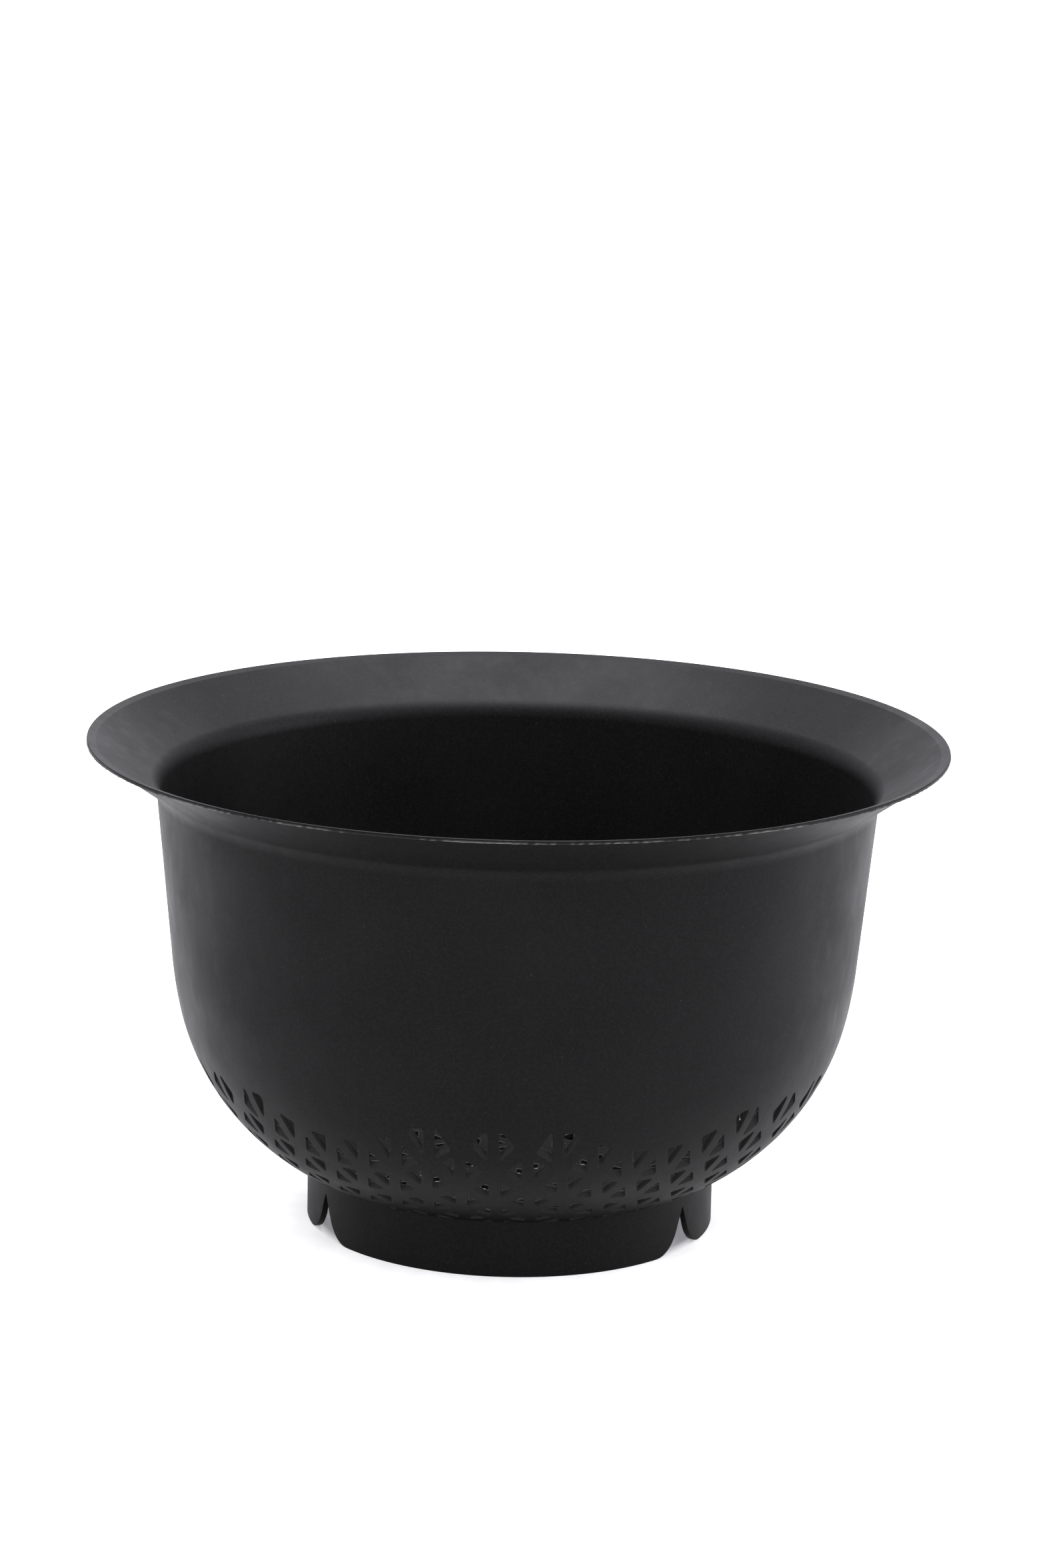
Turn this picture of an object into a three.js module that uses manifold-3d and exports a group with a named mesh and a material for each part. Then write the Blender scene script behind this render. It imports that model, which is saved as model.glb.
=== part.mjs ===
// Round draining bowl with a flared rim, a wall and floor pierced by a triangular grid, and a foot
// ring cut by three drain notches into three lobes. Units are millimetres, +Z is up and the origin
// is on the surface that the foot rests on, on the bowl's axis. One lobe faces -Y.
//
// The bowl is a single moulding. Its regions are separate solids that meet on flat horizontal seams,
// so that each can be named and edited alone.

import * as THREE from 'three';
import { mergeVertices } from 'three/addons/utils/BufferGeometryUtils.js';
import Module from 'manifold-3d';

// ---- Driving dimensions -------------------------------------------------------------------------

const RIM_RADIUS = 132;
const TOTAL_HEIGHT = 152.2;
const SEGMENTS = 36; // flat sides of every round surface

// Shell section, from the rim down. Angles are in degrees.
const WALL = 1.4;
const WALL_TOP = { r: 110.5, z: 134.4 }; // outer corner where the plain wall meets the flange fillet
const WALL_TAPER = 5.4; // from the vertical
const SHOULDER_Z = 83.4; // the straight taper ends here
const SHOULDER_BLEND = 12.7; // from the vertical, where the shoulder arc hands over to the belly arc
const SHOULDER_ARC = 125;
const BELLY_ARC = 74;
const FLANGE_ANGLE = 35; // from the horizontal
const FLANGE_FILLET = 6.2;
const LIP_WIDTH = 3;
const LIP_ANGLE = 17; // from the horizontal
const LIP_THICKNESS = 1.1;

// Foot
const FOOT_RADIUS = 63.2;
const FOOT_WALL = 2;
const COLLAR_TOP = 17.9; // inside the thickness of the bowl's shell
const NOTCH_BEARINGS = [60, 180, 300]; // from -Y, counter-clockwise seen from above
const NOTCH_FLARE = { width: 11, height: 13.5 }; // quarter ellipse at each side of a notch's mouth
const NOTCH_SLOT = { half: 1.6, top: 13.8, corner: 0.6 }; // narrow end of a notch

// Triangular grid of holes: three families of ribs, one of them along Y, the others at 60 degrees
const RIB_PITCH = 9.93;
const RIB_WIDTH = 3.42;
const GRID_ROWS = 9; // rows of holes from the axis to each flat of the hexagonal grid
const EXTRA_ROW_HALF = 3; // half-length, in cells, of the extra row outside each flat
const EXTRA_ROW_INSET = 1.9;
const GRID_EDGE_RADIUS = 99.6; // the grid's corners are trimmed round
const FOOT_GAP = 0.4; // solid margin between the foot ring and a hole that it cuts short
const SMALLEST_HOLE = 0.8; // a hole with less than this left beside the foot or the edge is left out

// Seams between the named regions
const SEAM = { lobes: 13, floor: 19, strainer: 62, wall: 133, lip: 150 };

const BEYOND = 20; // how far cutting tools run past what they cut

// ---- Solids from three.js geometry --------------------------------------------------------------

const wasm = await Module();
wasm.setup();

const radians = THREE.MathUtils.degToRad;

function toSolid(geometry) {
  const bare = geometry.clone();
  bare.deleteAttribute('normal');
  bare.deleteAttribute('uv');
  bare.clearGroups();
  const merged = mergeVertices(bare, 1e-4);
  const mesh = new wasm.Mesh({
    numProp: 3,
    vertProperties: new Float32Array(merged.attributes.position.array),
    triVerts: new Uint32Array(merged.index.array),
  });
  return new wasm.Manifold(mesh);
}

function toGeometry(solid) {
  const mesh = solid.getMesh();
  const geometry = new THREE.BufferGeometry();
  geometry.setAttribute('position', new THREE.BufferAttribute(mesh.vertProperties, mesh.numProp));
  geometry.setIndex(new THREE.BufferAttribute(mesh.triVerts, 1));
  geometry.computeVertexNormals();
  return geometry;
}

// A closed section, given as [r, z] points, turned about Z. One edge of every ring of facets is at +X.
function turned(section) {
  const points = section.map(([r, z]) => new THREE.Vector2(r, z));
  if (points[0].x > 0) points.push(points[0].clone());
  const geometry = new THREE.LatheGeometry(points, SEGMENTS);
  geometry.rotateX(Math.PI / 2);
  return toSolid(geometry);
}

function disc(radius, bottom, top) {
  const geometry = new THREE.CylinderGeometry(radius, radius, top - bottom, 2 * SEGMENTS);
  geometry.rotateX(Math.PI / 2);
  geometry.translate(0, 0, (bottom + top) / 2);
  return toSolid(geometry);
}

// Everything between two heights
function slab(bottom, top) {
  const side = 2 * (RIM_RADIUS + BEYOND);
  const geometry = new THREE.BoxGeometry(side, side, top - bottom);
  geometry.translate(0, 0, (bottom + top) / 2);
  return toSolid(geometry);
}

// ---- Shell section ------------------------------------------------------------------------------

// Points of an arc, as [r, z]. An angle is that of the outward normal below the horizontal.
function arc(centre, radius, from, to, steps) {
  return Array.from({ length: steps + 1 }, (_, i) => {
    const angle = radians(from + ((to - from) * i) / steps);
    return [centre.r + radius * Math.cos(angle), centre.z - radius * Math.sin(angle)];
  });
}

function arcCentre(point, radius, angle) {
  return {
    r: point.r - radius * Math.cos(radians(angle)),
    z: point.z + radius * Math.sin(radians(angle)),
  };
}

// The bowl below the flange: a straight taper, a wide shoulder arc and a belly arc that ends flat.
// depth is how far the line lies inside the outer surface.
function bowlLine(depth) {
  const start = {
    r: WALL_TOP.r - (WALL_TOP.z - SHOULDER_Z) * Math.tan(radians(WALL_TAPER)),
    z: SHOULDER_Z,
  };
  const shoulder = arcCentre(start, SHOULDER_ARC, WALL_TAPER);
  const [joinR, joinZ] = arc(shoulder, SHOULDER_ARC, SHOULDER_BLEND, SHOULDER_BLEND, 1)[0];
  const belly = arcCentre({ r: joinR, z: joinZ }, BELLY_ARC, SHOULDER_BLEND);
  return [
    ...arc(shoulder, SHOULDER_ARC - depth, WALL_TAPER, SHOULDER_BLEND, 2),
    ...arc(belly, BELLY_ARC - depth, SHOULDER_BLEND, 90, 6).slice(1),
  ];
}

// The flange and lip: underside first, outwards, then the top surface, inwards.
function flangeLine() {
  const steep = 90 - FLANGE_ANGLE;
  const centre = {
    r: WALL_TOP.r + FLANGE_FILLET * Math.cos(radians(WALL_TAPER)),
    z: WALL_TOP.z - FLANGE_FILLET * Math.sin(radians(WALL_TAPER)),
  };
  const fillet = (radius) => arc(centre, -radius, WALL_TAPER, steep, 3);
  const lipR = RIM_RADIUS - LIP_WIDTH;
  const lipTop = TOTAL_HEIGHT - LIP_WIDTH * Math.tan(radians(LIP_ANGLE));
  const drop = LIP_THICKNESS / Math.cos(radians(LIP_ANGLE));
  return [
    ...fillet(FLANGE_FILLET),
    [lipR, lipTop - drop],
    [RIM_RADIUS, TOTAL_HEIGHT - drop],
    [RIM_RADIUS, TOTAL_HEIGHT],
    [lipR, lipTop],
    ...fillet(FLANGE_FILLET + WALL).reverse(),
  ];
}

function shellSection() {
  const outer = bowlLine(0);
  const inner = bowlLine(WALL);
  const floorUnder = outer.at(-1)[1];
  return [
    [0, floorUnder],
    ...outer.reverse(),
    ...flangeLine(),
    ...inner,
    [0, floorUnder + WALL],
  ];
}

// ---- Foot ---------------------------------------------------------------------------------------

function footRing() {
  const inner = FOOT_RADIUS - FOOT_WALL;
  return turned([[inner, 0], [FOOT_RADIUS, 0], [FOOT_RADIUS, COLLAR_TOP], [inner, COLLAR_TOP]]);
}

// A notch seen along the foot's radius: a wide mouth that flares like a bell into a narrow slot.
function notchShape() {
  const { width, height } = NOTCH_FLARE;
  const { half, top, corner } = NOTCH_SLOT;
  const flareHalf = (z) => half + width * (1 - Math.sqrt(1 - (1 - z / height) ** 2));
  const flare = [1, 0.93, 0.82, 0.66, 0.46, 0.24, 0].map((t) => {
    const z = (top - corner) * (1 - t);
    return [flareHalf(z), z];
  });
  const bend = [30, 60, 90].map(radians).map((angle) => [
    half - corner * (1 - Math.cos(angle)),
    top - corner * (1 - Math.sin(angle)),
  ]);
  const side = [[flareHalf(0), -BEYOND], ...flare, ...bend];
  const mirrored = side.map(([x, z]) => [-x, z]).reverse();
  return new THREE.Shape([...side, ...mirrored].map(([x, z]) => new THREE.Vector2(x, z)));
}

// The notch's cutting tool at one bearing, running across the foot ring.
function notchTool(bearing) {
  const depth = 4 * FOOT_WALL;
  const geometry = new THREE.ExtrudeGeometry(notchShape(), { depth, bevelEnabled: false });
  geometry.rotateX(Math.PI / 2);
  geometry.translate(0, -(FOOT_RADIUS - FOOT_WALL / 2 - depth / 2), 0);
  geometry.rotateZ(radians(bearing));
  return toSolid(geometry);
}

// A third of the space round the axis, centred on a bearing.
function third(bearing) {
  const reach = 2 * RIM_RADIUS;
  const half = radians(60);
  const wedge = new THREE.Shape([
    new THREE.Vector2(0, 0),
    new THREE.Vector2(-reach * Math.sin(half), -reach * Math.cos(half)),
    new THREE.Vector2(reach * Math.sin(half), -reach * Math.cos(half)),
  ]);
  const depth = TOTAL_HEIGHT + 2 * BEYOND;
  const geometry = new THREE.ExtrudeGeometry(wedge, { depth, bevelEnabled: false });
  geometry.translate(0, 0, -BEYOND);
  geometry.rotateZ(radians(bearing));
  return toSolid(geometry);
}

// ---- Triangular grid ----------------------------------------------------------------------------

const CELL = (2 * RIB_PITCH) / Math.sqrt(3); // distance between grid nodes along a rib
const HOLE_REACH = 2 * (RIB_PITCH / 3 - RIB_WIDTH / 2); // from a hole's centre to its corners
const FLAT_BEARINGS = [0, 60, 120, 180, 240, 300]; // of the hexagonal grid's sides, from +X

// How far out a point lies, measured squarely to the nearest flat of the hexagonal grid.
function flatDistance(x, y) {
  const distances = FLAT_BEARINGS.map(radians).map((b) => x * Math.cos(b) + y * Math.sin(b));
  return Math.max(...distances);
}

// Every hole is {x, y, turn}: its centre, and the bearing from +X that it points to.
function coreHoles() {
  const holes = [];
  for (let rib = -GRID_ROWS; rib <= GRID_ROWS; rib += 1) {
    for (let step = -2 * GRID_ROWS; step <= 2 * GRID_ROWS; step += 1) {
      if ((rib + step) % 2 !== 0) {
        const y = (step * CELL) / 2;
        holes.push({ x: (rib + 1 / 3) * RIB_PITCH, y, turn: 0 });
        holes.push({ x: (rib - 1 / 3) * RIB_PITCH, y, turn: 180 });
      }
    }
  }
  return holes.filter(({ x, y }) => flatDistance(x, y) < GRID_ROWS * RIB_PITCH);
}

// The short row outside one flat: holes that point outwards with inverted ones between them.
function extraRow(bearing) {
  const cos = Math.cos(radians(bearing));
  const sin = Math.sin(radians(bearing));
  const place = (out, along, turn) => ({
    x: out * cos - along * sin,
    y: out * sin + along * cos,
    turn: bearing + turn,
  });
  const row = [];
  for (let half = -2 * EXTRA_ROW_HALF; half <= 2 * EXTRA_ROW_HALF; half += 1) {
    const inverted = half % 2 !== 0;
    const out = (GRID_ROWS + (inverted ? 2 : 1) / 3) * RIB_PITCH - EXTRA_ROW_INSET;
    row.push(place(out, (half * CELL) / 2, inverted ? 180 : 0));
  }
  return row;
}

function corners({ x, y, turn }) {
  return [0, 120, 240].map((angle) => {
    const bearing = radians(turn + angle);
    return new THREE.Vector2(x + HOLE_REACH * Math.cos(bearing), y + HOLE_REACH * Math.sin(bearing));
  });
}

// False for a hole that the foot ring or the grid's round edge would leave as a mere sliver.
function isOpen(hole) {
  const reaches = corners(hole).map((corner) => corner.length());
  const nearest = Math.min(...reaches);
  const farthest = Math.max(...reaches);
  const clearOfFoot =
    farthest > FOOT_RADIUS + SMALLEST_HOLE || nearest < FOOT_RADIUS - FOOT_WALL - SMALLEST_HOLE;
  return clearOfFoot && nearest < GRID_EDGE_RADIUS - SMALLEST_HOLE;
}

// The cutting tool for all the holes: upright prisms, trimmed by the grid's edge and by the foot.
function gridTool() {
  const holes = [...coreHoles(), ...FLAT_BEARINGS.flatMap(extraRow)].filter(isOpen);
  const shapes = holes.map((hole) => new THREE.Shape(corners(hole)));
  const geometry = new THREE.ExtrudeGeometry(shapes, { depth: SEAM.strainer, bevelEnabled: false });
  const [inner, outer] = [FOOT_RADIUS - FOOT_WALL - FOOT_GAP, FOOT_RADIUS + FOOT_GAP];
  const foot = turned([[inner, -BEYOND], [outer, -BEYOND], [outer, BEYOND], [inner, BEYOND]]);
  const edge = disc(GRID_EDGE_RADIUS, -BEYOND, SEAM.strainer + BEYOND);
  return toSolid(geometry).subtract(foot).intersect(edge);
}

// ---- The bowl -----------------------------------------------------------------------------------

const shell = turned(shellSection());
const foot = NOTCH_BEARINGS.reduce((ring, bearing) => ring.subtract(notchTool(bearing)), footRing());
const pierced = shell.subtract(slab(SEAM.strainer, TOTAL_HEIGHT + BEYOND)).subtract(gridTool());

const regions = {
  rim_lip: shell.subtract(slab(-BEYOND, SEAM.lip)),
  rim_flange: shell.intersect(slab(SEAM.wall, SEAM.lip)),
  upper_wall: shell.intersect(slab(SEAM.strainer, SEAM.wall)),
  strainer_wall: pierced.subtract(slab(-BEYOND, SEAM.floor)),
  strainer_floor: pierced.intersect(slab(-BEYOND, SEAM.floor)).add(foot.subtract(slab(-BEYOND, SEAM.lobes))),
  foot_lobe_front: foot.intersect(slab(-BEYOND, SEAM.lobes)).intersect(third(0)),
  foot_lobe_right: foot.intersect(slab(-BEYOND, SEAM.lobes)).intersect(third(120)),
  foot_lobe_left: foot.intersect(slab(-BEYOND, SEAM.lobes)).intersect(third(240)),
};

const bowl = new THREE.Group();
for (const [name, solid] of Object.entries(regions)) {
  const material = new THREE.MeshStandardMaterial({ color: 0x1d1e1f, roughness: 0.5, metalness: 0 });
  const mesh = new THREE.Mesh(toGeometry(solid), material);
  mesh.name = name;
  bowl.add(mesh);
}

export default bowl;
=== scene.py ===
"""Looks for a round draining bowl moulded in matte black plastic.

The bowl is one thin moulding. Each of its named regions gets a fine mesh of its own: turned skins
for the lip, flange and plain wall, a pierced skin for the strainer and three plates for the foot
lobes. Their corner normals come from the section itself, so the seams between them don't show.
Lengths are in millimetres until a mesh is made.
"""

import math

import bpy
import numpy as np
from mathutils import Matrix, Vector
from mathutils.geometry import delaunay_2d_cdt


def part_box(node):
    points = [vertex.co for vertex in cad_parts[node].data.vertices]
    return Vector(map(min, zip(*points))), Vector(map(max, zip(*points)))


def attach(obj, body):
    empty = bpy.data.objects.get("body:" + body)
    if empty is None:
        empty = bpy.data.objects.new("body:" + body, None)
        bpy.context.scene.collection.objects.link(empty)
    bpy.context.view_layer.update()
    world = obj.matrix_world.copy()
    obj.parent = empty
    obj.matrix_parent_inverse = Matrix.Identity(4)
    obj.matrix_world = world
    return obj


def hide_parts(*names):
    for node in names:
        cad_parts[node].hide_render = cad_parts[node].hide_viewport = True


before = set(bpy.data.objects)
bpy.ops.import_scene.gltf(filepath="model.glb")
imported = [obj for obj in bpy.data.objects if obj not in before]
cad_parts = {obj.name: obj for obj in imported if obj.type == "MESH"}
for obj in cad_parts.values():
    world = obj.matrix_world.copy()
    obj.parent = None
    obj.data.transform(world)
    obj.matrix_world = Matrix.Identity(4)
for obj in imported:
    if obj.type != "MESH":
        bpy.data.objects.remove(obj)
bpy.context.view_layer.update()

MM = 0.001  # one millimetre in metres

# ---- Sizes read from the frame ------------------------------------------------------------------

RIM_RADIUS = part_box("rim_lip")[1].x / MM
TOTAL_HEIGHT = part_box("rim_lip")[1].z / MM
LIP_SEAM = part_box("rim_lip")[0].z / MM
WALL_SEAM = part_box("rim_flange")[0].z / MM
STRAINER_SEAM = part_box("upper_wall")[0].z / MM
FOOT_RADIUS = -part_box("foot_lobe_front")[0].y / MM

# ---- Shell section, as the CAD model has it (angles in degrees) ----------------------------------

WALL = 1.4
WALL_TOP = (110.5, 134.4)  # outer corner where the plain wall meets the flange fillet
WALL_TAPER = 5.4  # from the vertical
SHOULDER_Z = 83.4
SHOULDER_BLEND = 12.7
SHOULDER_ARC = 125.0
BELLY_ARC = 74.0
FLANGE_FILLET = 6.2
LIP_WIDTH = 3.0
LIP_ANGLE = 17.0
LIP_THICKNESS = 1.1

FOOT_WALL = 2.0
NOTCH_FLARE = (11.0, 13.5)  # width and height of the quarter ellipse beside a notch's mouth
NOTCH_SLOT = (1.6, 13.8, 0.6)  # half width, height of the top and radius of its corners
LOBE_TOP = 14.8  # the lobes' flat seam, just above the notches

RIB_PITCH = 9.93
RIB_WIDTH = 3.42
GRID_ROWS = 9
EXTRA_ROW_HALF = 3
EXTRA_ROW_INSET = 1.9
GRID_EDGE_RADIUS = 99.6
SMALLEST_HOLE = 0.8

# ---- Camera, light and finish ----------------------------------------------------------------------

CAMERA_LENS = 107.61
CAMERA_SENSOR = 36.0
CAMERA_DISTANCE = 1400.2  # from the bowl's axis
CAMERA_HEIGHT = 464.4  # above the floor
CAMERA_YAW, CAMERA_PITCH, CAMERA_ROLL = 0.056, 13.142, 1.223
BOWL_TURN = 2.96  # angle by which the camera stands to the right of the bowl's front

LIGHT_TINT = (0.99, 0.98, 1.045)
SURROUND = 1.2  # strength of the light from all round
SOFTBOXES = {  # place, target and size in metres, and power in watts
    "overhead": ((0, 0.1, 1.5), (0, 0, 0), 1.2, 65.0),
    "behind": ((0, 1.9, 1.2), (0, 0, 0.1), 1.4, 9.0),
    "right": ((1.4, 0.1, 0.6), (0, 0, 0.1), 0.8, 12.0),
}
FLOOR_HALF = 40.0  # half the floor's side, in metres
FLOOR_TONE = 0.52
FLOOR_GLOW = 0.55  # strength of the light that the floor gives off outside the foot; inside, it fades out as a painted shadow

DARK_TONE = (0.0010, 0.0011, 0.0011)
LIGHT_TONE = (0.0020, 0.0021, 0.0021)
STREAK_TONE = (0.0045, 0.0046, 0.0047)
MOTTLE_TONE = (0.0060, 0.0061, 0.0062)
DUST_TONE = (0.03, 0.03, 0.029)
EDGE_FLASH_AND_HIGHLIGHT_TONE = (0.21, 0.2, 0.185)  # the palest parts of the rim's moulding line, and the painted highlight at the holes' edges
HOLE_CREST_PAINTED_HIGHLIGHT = 0.21  # painted highlight: how far a hole's inner edge goes from the plain tone to the edge tone
HOLE_WALL_PAINTED_LIGHT = 0.037  # painted light: how far its walls go, and its outer edge's rounding
SPECULAR = 0.08
ROUGHNESS = 0.5
ROUGHNESS_SPREAD = 0.05
STREAK_SHARE, MOTTLE_SHARE, DUST_SHARE = 0.15, 0.6, 0.5  # strongest mix of each tone

# noises as (scale per metre, detail)
CLOUD_NOISE = (14, 3)
STREAK_NOISE = (60, 2)
MOTTLE_NOISE = (1400, 2)
DUST_NOISE = (1300, 1)
SCUFF_NOISE = (220, 4)
GLOSS_NOISE = (35, 3)
GRAIN_NOISE = (2600, 2)
RIPPLE_NOISE = (45, 1)
UPRIGHT_STREAK = (1, 1, 0.12)  # stretches a noise along Z
UPRIGHT_SCUFF = (1, 1, 0.5)
GRAIN_BUMP = (0.7, 0.00004)  # strength, and depth in metres
RIPPLE_BUMP = (0.2, 0.0003)

# ---- Fine detail that only the visual model has ---------------------------------------------------

TURN = 288  # steps round the axis
LIP_TURN = 4 * TURN  # the lip's edge is finer, for its ragged moulding line
HOLE_CORNER = 0.45  # radius of a hole's corners
HOLE_EDGE = 0.22  # softening where a hole meets the skin
PLATE_EDGE = 0.3  # softening of the foot lobes' edges
CREASE_OUTSIDE = 0.6  # fillet between foot and bowl
CREASE_INSIDE = 0.3
GRID_SEAM = 63.65  # radius of the hidden seam between the strainer's wall and its floor
FOOT_CLEAR_IN = 60.5  # holes are cut short here, inside the foot
FOOT_CLEAR_OUT = 63.95  # and here, outside it
LOOSE_SPACING = 3.2  # between the mesh's free points on the pierced skins
BURR = 0.12  # how far the moulding line at the rim's edge stands out
BURR_FOOT = 0.14  # how far its foot reaches under the rim and up the edge
LIP_EDGE = 0.38  # rounding of the rim's top edge
LIP_BEND_OVER, LIP_BEND_UNDER = 1.2, 1.5  # rounding where the lip meets the flange
COARSE_WAVES = (3, 20, 6)  # lowest and highest frequency per turn, and how many of them
FINE_WAVES = (60, 340, 40)
PLATE_SPACING = 2.5  # between the mesh's free points along a foot lobe
PLATE_HEIGHTS = (2.6, 5.6, 8.6, 11.6)  # and their heights


# ---- Section geometry ----------------------------------------------------------------------------

def unit(angle):
    """Outward direction (r, z) at an angle below the horizontal."""
    return np.array([math.cos(math.radians(angle)), -math.sin(math.radians(angle))])


SHOULDER_START = np.array([
    WALL_TOP[0] - (WALL_TOP[1] - SHOULDER_Z) * math.tan(math.radians(WALL_TAPER)),
    SHOULDER_Z,
])
SHOULDER_CENTRE = SHOULDER_START - SHOULDER_ARC * unit(WALL_TAPER)
BELLY_START = SHOULDER_CENTRE + SHOULDER_ARC * unit(SHOULDER_BLEND)
BELLY_CENTRE = BELLY_START - BELLY_ARC * unit(SHOULDER_BLEND)


class Dish:
    """The strainer's skin at some depth inside its outer surface: a flat floor, then the belly arc."""

    def __init__(self, depth, facing):
        self.radius = BELLY_ARC - depth
        self.facing = facing  # +1 for the outer surface, -1 for the inner one

    def height(self, r):
        out = np.maximum(np.asarray(r, float) - BELLY_CENTRE[0], 0)
        return BELLY_CENTRE[1] - np.sqrt(self.radius**2 - out**2)

    def radius_at(self, z):
        return BELLY_CENTRE[0] + math.sqrt(self.radius**2 - (BELLY_CENTRE[1] - z) ** 2)

    def slope(self, r):
        """Cosine and sine of the surface's outward direction below the horizontal."""
        cos = np.maximum(np.asarray(r, float) - BELLY_CENTRE[0], 0) / self.radius
        return cos, np.sqrt(1 - cos**2)

    def length(self, r):
        """Distance from the axis along the surface."""
        r = np.asarray(r, float)
        cos = self.slope(r)[0]
        return np.minimum(r, BELLY_CENTRE[0]) + self.radius * np.arcsin(cos)

    def reach(self, length):
        """Radius at a distance along the surface: the inverse of length."""
        along = np.maximum(np.asarray(length, float) - BELLY_CENTRE[0], 0)
        return np.minimum(length, BELLY_CENTRE[0]) + self.radius * np.sin(along / self.radius)

    def lift(self, plan):
        r = np.hypot(plan[:, 0], plan[:, 1])
        return np.column_stack([plan, self.height(r)])

    def normals(self, plan):
        r = np.hypot(plan[:, 0], plan[:, 1])
        cos, sin = self.slope(r)
        flat = plan / np.maximum(r, 1e-9)[:, None]
        return self.facing * np.column_stack([flat * cos[:, None], -sin])

    def unroll(self, plan):
        """The plan stretched outwards, so that distances are about those along the surface."""
        r = np.hypot(plan[:, 0], plan[:, 1])
        return plan * (self.length(r) / np.maximum(r, 1e-9))[:, None]


OUTER = Dish(0, 1)
INNER = Dish(WALL, -1)


def arc_run(centre, radius, start, stop, steps, facing=1):
    """(r, z, normal r, normal z) along an arc whose angles are below the horizontal."""
    return [
        (*(centre + radius * unit(angle)), *(facing * unit(angle)))
        for angle in np.linspace(start, stop, steps + 1)
    ]


def line_run(start, stop, steps=1):
    """The same for a straight line, whose normal is on its right."""
    start, stop = np.array(start, float), np.array(stop, float)
    along = (stop - start) / np.linalg.norm(stop - start)
    return [(*(start + (stop - start) * i / steps), along[1], -along[0]) for i in range(steps + 1)]


def corner_arc(before, corner, after, radius, steps):
    """A fillet of the corner between two straight lines."""
    before, corner, after = (np.array(p, float) for p in (before, corner, after))
    back = (before - corner) / np.linalg.norm(before - corner)
    ahead = (after - corner) / np.linalg.norm(after - corner)
    half = math.acos(float(np.clip(back @ ahead, -1, 1))) / 2
    reach = radius / math.tan(half)
    middle = (back + ahead) / np.linalg.norm(back + ahead)
    centre = corner + middle * radius / math.sin(half)
    first, last = corner + back * reach - centre, corner + ahead * reach - centre
    turn = math.atan2(first[0] * last[1] - first[1] * last[0], first @ last)
    # the section runs anticlockwise, so a fillet that turns left bulges out of the material
    facing = 1 if turn > 0 else -1
    run = []
    for i in range(steps + 1):
        a = turn * i / steps
        spoke = np.array([
            first[0] * math.cos(a) - first[1] * math.sin(a),
            first[0] * math.sin(a) + first[1] * math.cos(a),
        ])
        run.append((*(centre + spoke), *(facing * spoke / radius)))
    return run


# ---- Mesh building -------------------------------------------------------------------------------

class Skin:
    """Points and faces in millimetres, with a normal for every corner of every face. Every point also
    says how pale it is, from 0 for the moulded surface to 1 for the palest part of the rim's ragged
    moulding line. The holes' edges and walls use it for painted highlight and painted light."""

    def __init__(self):
        self.points, self.pale, self.faces, self.normals = [], [], [], []

    def add(self, points, pale=0.0):
        start = len(self.points)
        self.points.extend(np.asarray(points, float).tolist())
        self.pale.extend(np.broadcast_to(pale, len(points)).tolist())
        return np.arange(start, len(self.points))

    def face(self, corners):
        kept = [c for i, c in enumerate(corners) if c[0] != corners[i - 1][0]]
        if len(kept) < 3:
            return
        self.faces.append([int(index) for index, _ in kept])
        self.normals.extend(tuple(normal) for _, normal in kept)

    def strip(self, a, b, normals_a, normals_b, closed=True):
        """Quads between two rows of points. The skin's outside is on the right of a to b."""
        last = len(a) if closed else len(a) - 1
        for i in range(last):
            j = (i + 1) % len(a)
            self.face([
                (a[i], normals_a[i]), (a[j], normals_a[j]),
                (b[j], normals_b[j]), (b[i], normals_b[i]),
            ])

    def make(self, name):
        mesh = bpy.data.meshes.new(name)
        mesh.from_pydata((np.array(self.points) * MM).tolist(), [], self.faces)
        mesh.polygons.foreach_set("use_smooth", [True] * len(mesh.polygons))
        mesh.normals_split_custom_set(self.normals)
        mesh.attributes.new("pale", "FLOAT", "POINT").data.foreach_set("value", self.pale)
        piece = bpy.data.objects.new(name, mesh)
        bpy.context.scene.collection.objects.link(piece)
        return piece


def spokes(count):
    """Directions round the axis, starting at +X."""
    angles = 2 * math.pi * np.arange(count) / count
    return np.column_stack([np.cos(angles), np.sin(angles)])


def ring(r, z, count=TURN):
    """Points of a circle. r and z may vary from point to point."""
    return np.column_stack([spokes(count) * np.reshape(r, (-1, 1)), np.broadcast_to(z, count)])


def ring_normals(nr, nz, count=TURN):
    return np.column_stack([spokes(count) * nr, np.full(count, nz)])


def turned(skin, runs, first=None, last=None, count=TURN, ragged=None):
    """Turns a chain of runs about the axis; runs meet at sharp edges. first and last are rows that
    exist already for the chain's ends, and without last the chain closes on itself. ragged gives
    some points of the chain, by number, an offset in r and z and a paleness, all of which vary
    round the turn."""
    chain = [runs[0][0]] + [point for run in runs for point in run[1:]]
    rows = []
    for number, (r, z, _, _) in enumerate(chain):
        dr, dz, pale = (ragged or {}).get(number, (0, 0, 0))
        if number == 0 and first is not None:
            rows.append(first)
        elif number == len(chain) - 1:
            rows.append(rows[0] if last is None else last)
        else:
            rows.append(skin.add(ring(r + dr, z + dz, count), pale))
    number = 0
    for run in runs:
        for here, there in zip(run, run[1:]):
            normals = [ring_normals(*point[2:], count) for point in (here, there)]
            skin.strip(rows[number], rows[number + 1], *normals)
            number += 1


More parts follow.
